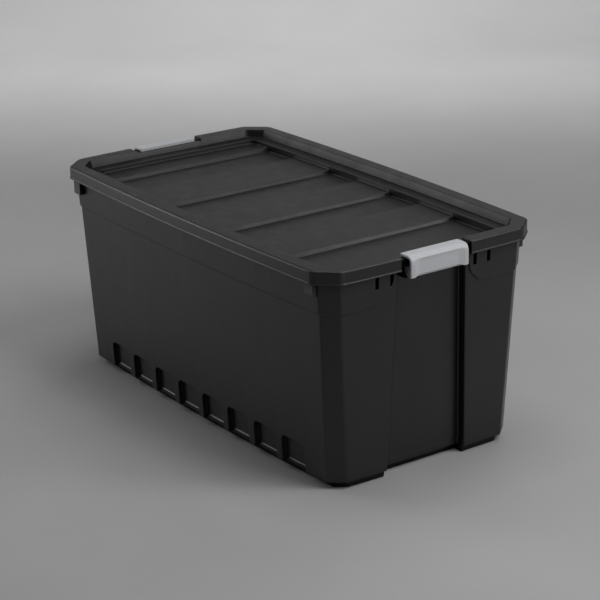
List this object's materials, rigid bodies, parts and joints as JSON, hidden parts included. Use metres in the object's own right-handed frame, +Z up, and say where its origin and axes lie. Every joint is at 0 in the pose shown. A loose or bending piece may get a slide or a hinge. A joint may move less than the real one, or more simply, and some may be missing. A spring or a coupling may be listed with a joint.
{
  "type": "stackable storage bin",
  "caption": "Long lidded storage bin with bowed walls, a recessed stacking lid and a hinged clip latch at each end.",
  "frame": {"origin": "on the floor, under the middle of the tub", "axes": "+Z up; X along the length, the lid's short high strip at the -X end; Y across the width"},
  "size_m": [0.804, 0.4448, 0.369],
  "materials": {
    "tub_plastic": "satin black moulded plastic",
    "lid_plastic": "fine textured black moulded plastic",
    "latch_plastic": "satin light grey moulded plastic"
  },
  "bodies": {
    "tub_body": {"tub": "tub_plastic"},
    "lid_body": {"lid": "lid_plastic"},
    "latch_right_body": {"latch_right": "latch_plastic"},
    "latch_left_body": {"latch_left": "latch_plastic"}
  },
  "joints": [
    {"name": "lid_lift", "type": "slide", "parent": "tub_body", "child": "lid_body", "axis": [0, 0, 1], "range_m": [0, 0.036]},
    {"name": "latch_right_hinge", "type": "hinge", "parent": "tub_body", "child": "latch_right_body", "pos_m": [0.3935, 0, 0.3385], "axis": [0, 1, 0], "range_deg": [0, 165.5]},
    {"name": "latch_left_hinge", "type": "hinge", "parent": "tub_body", "child": "latch_left_body", "pos_m": [-0.3935, 0, 0.3385], "axis": [0, -1, 0], "range_deg": [0, 165.5]}
  ],
  "couplings": [
    {"joint": "latch_right_hinge", "follows": "lid_lift", "rad_per_m": 80},
    {"joint": "latch_left_hinge", "follows": "lid_lift", "rad_per_m": 80}
  ]
}
